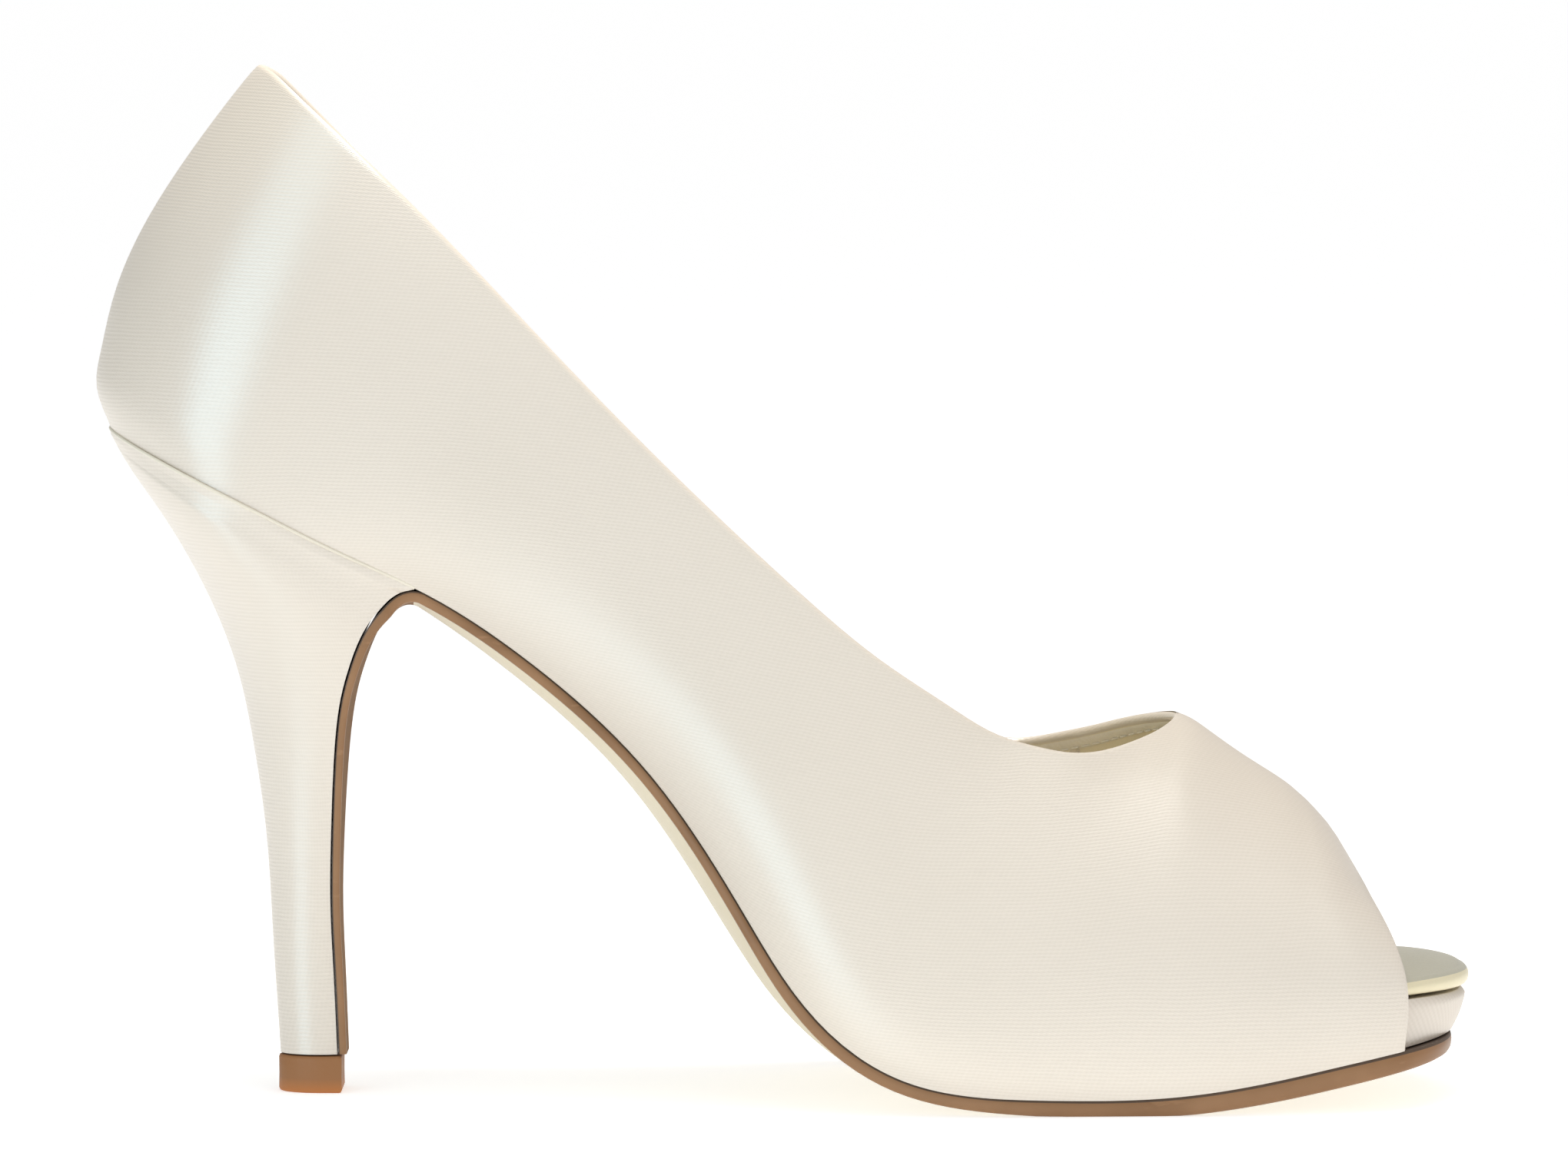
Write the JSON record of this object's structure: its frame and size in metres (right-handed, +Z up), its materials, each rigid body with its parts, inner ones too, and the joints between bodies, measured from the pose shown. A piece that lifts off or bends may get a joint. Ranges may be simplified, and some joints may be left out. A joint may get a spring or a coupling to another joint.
{
  "type": "peep toe pump",
  "caption": "Left peep toe pump in ivory satin with a hidden platform and a tall slim covered heel.",
  "frame": {"origin": "on the floor under the middle of the shoe's bounding box", "axes": "+X to the toe, +Z up, -Y the inner side of the foot, +Y the outer side"},
  "size_m": [0.23, 0.0796, 0.1737],
  "materials": {
    "satin": "ivory satin with a fine rib",
    "sock_leather": "pale pewter leather, soft sheen",
    "sole_leather": "cream sole leather with a brown painted edge",
    "lift_rubber": "tan rubber, dull"
  },
  "bodies": {
    "root": {"upper": "satin", "insole": "sock_leather", "platform": "satin", "outsole": "sole_leather", "heel": "satin", "top_piece": "lift_rubber"}
  },
  "joints": []
}
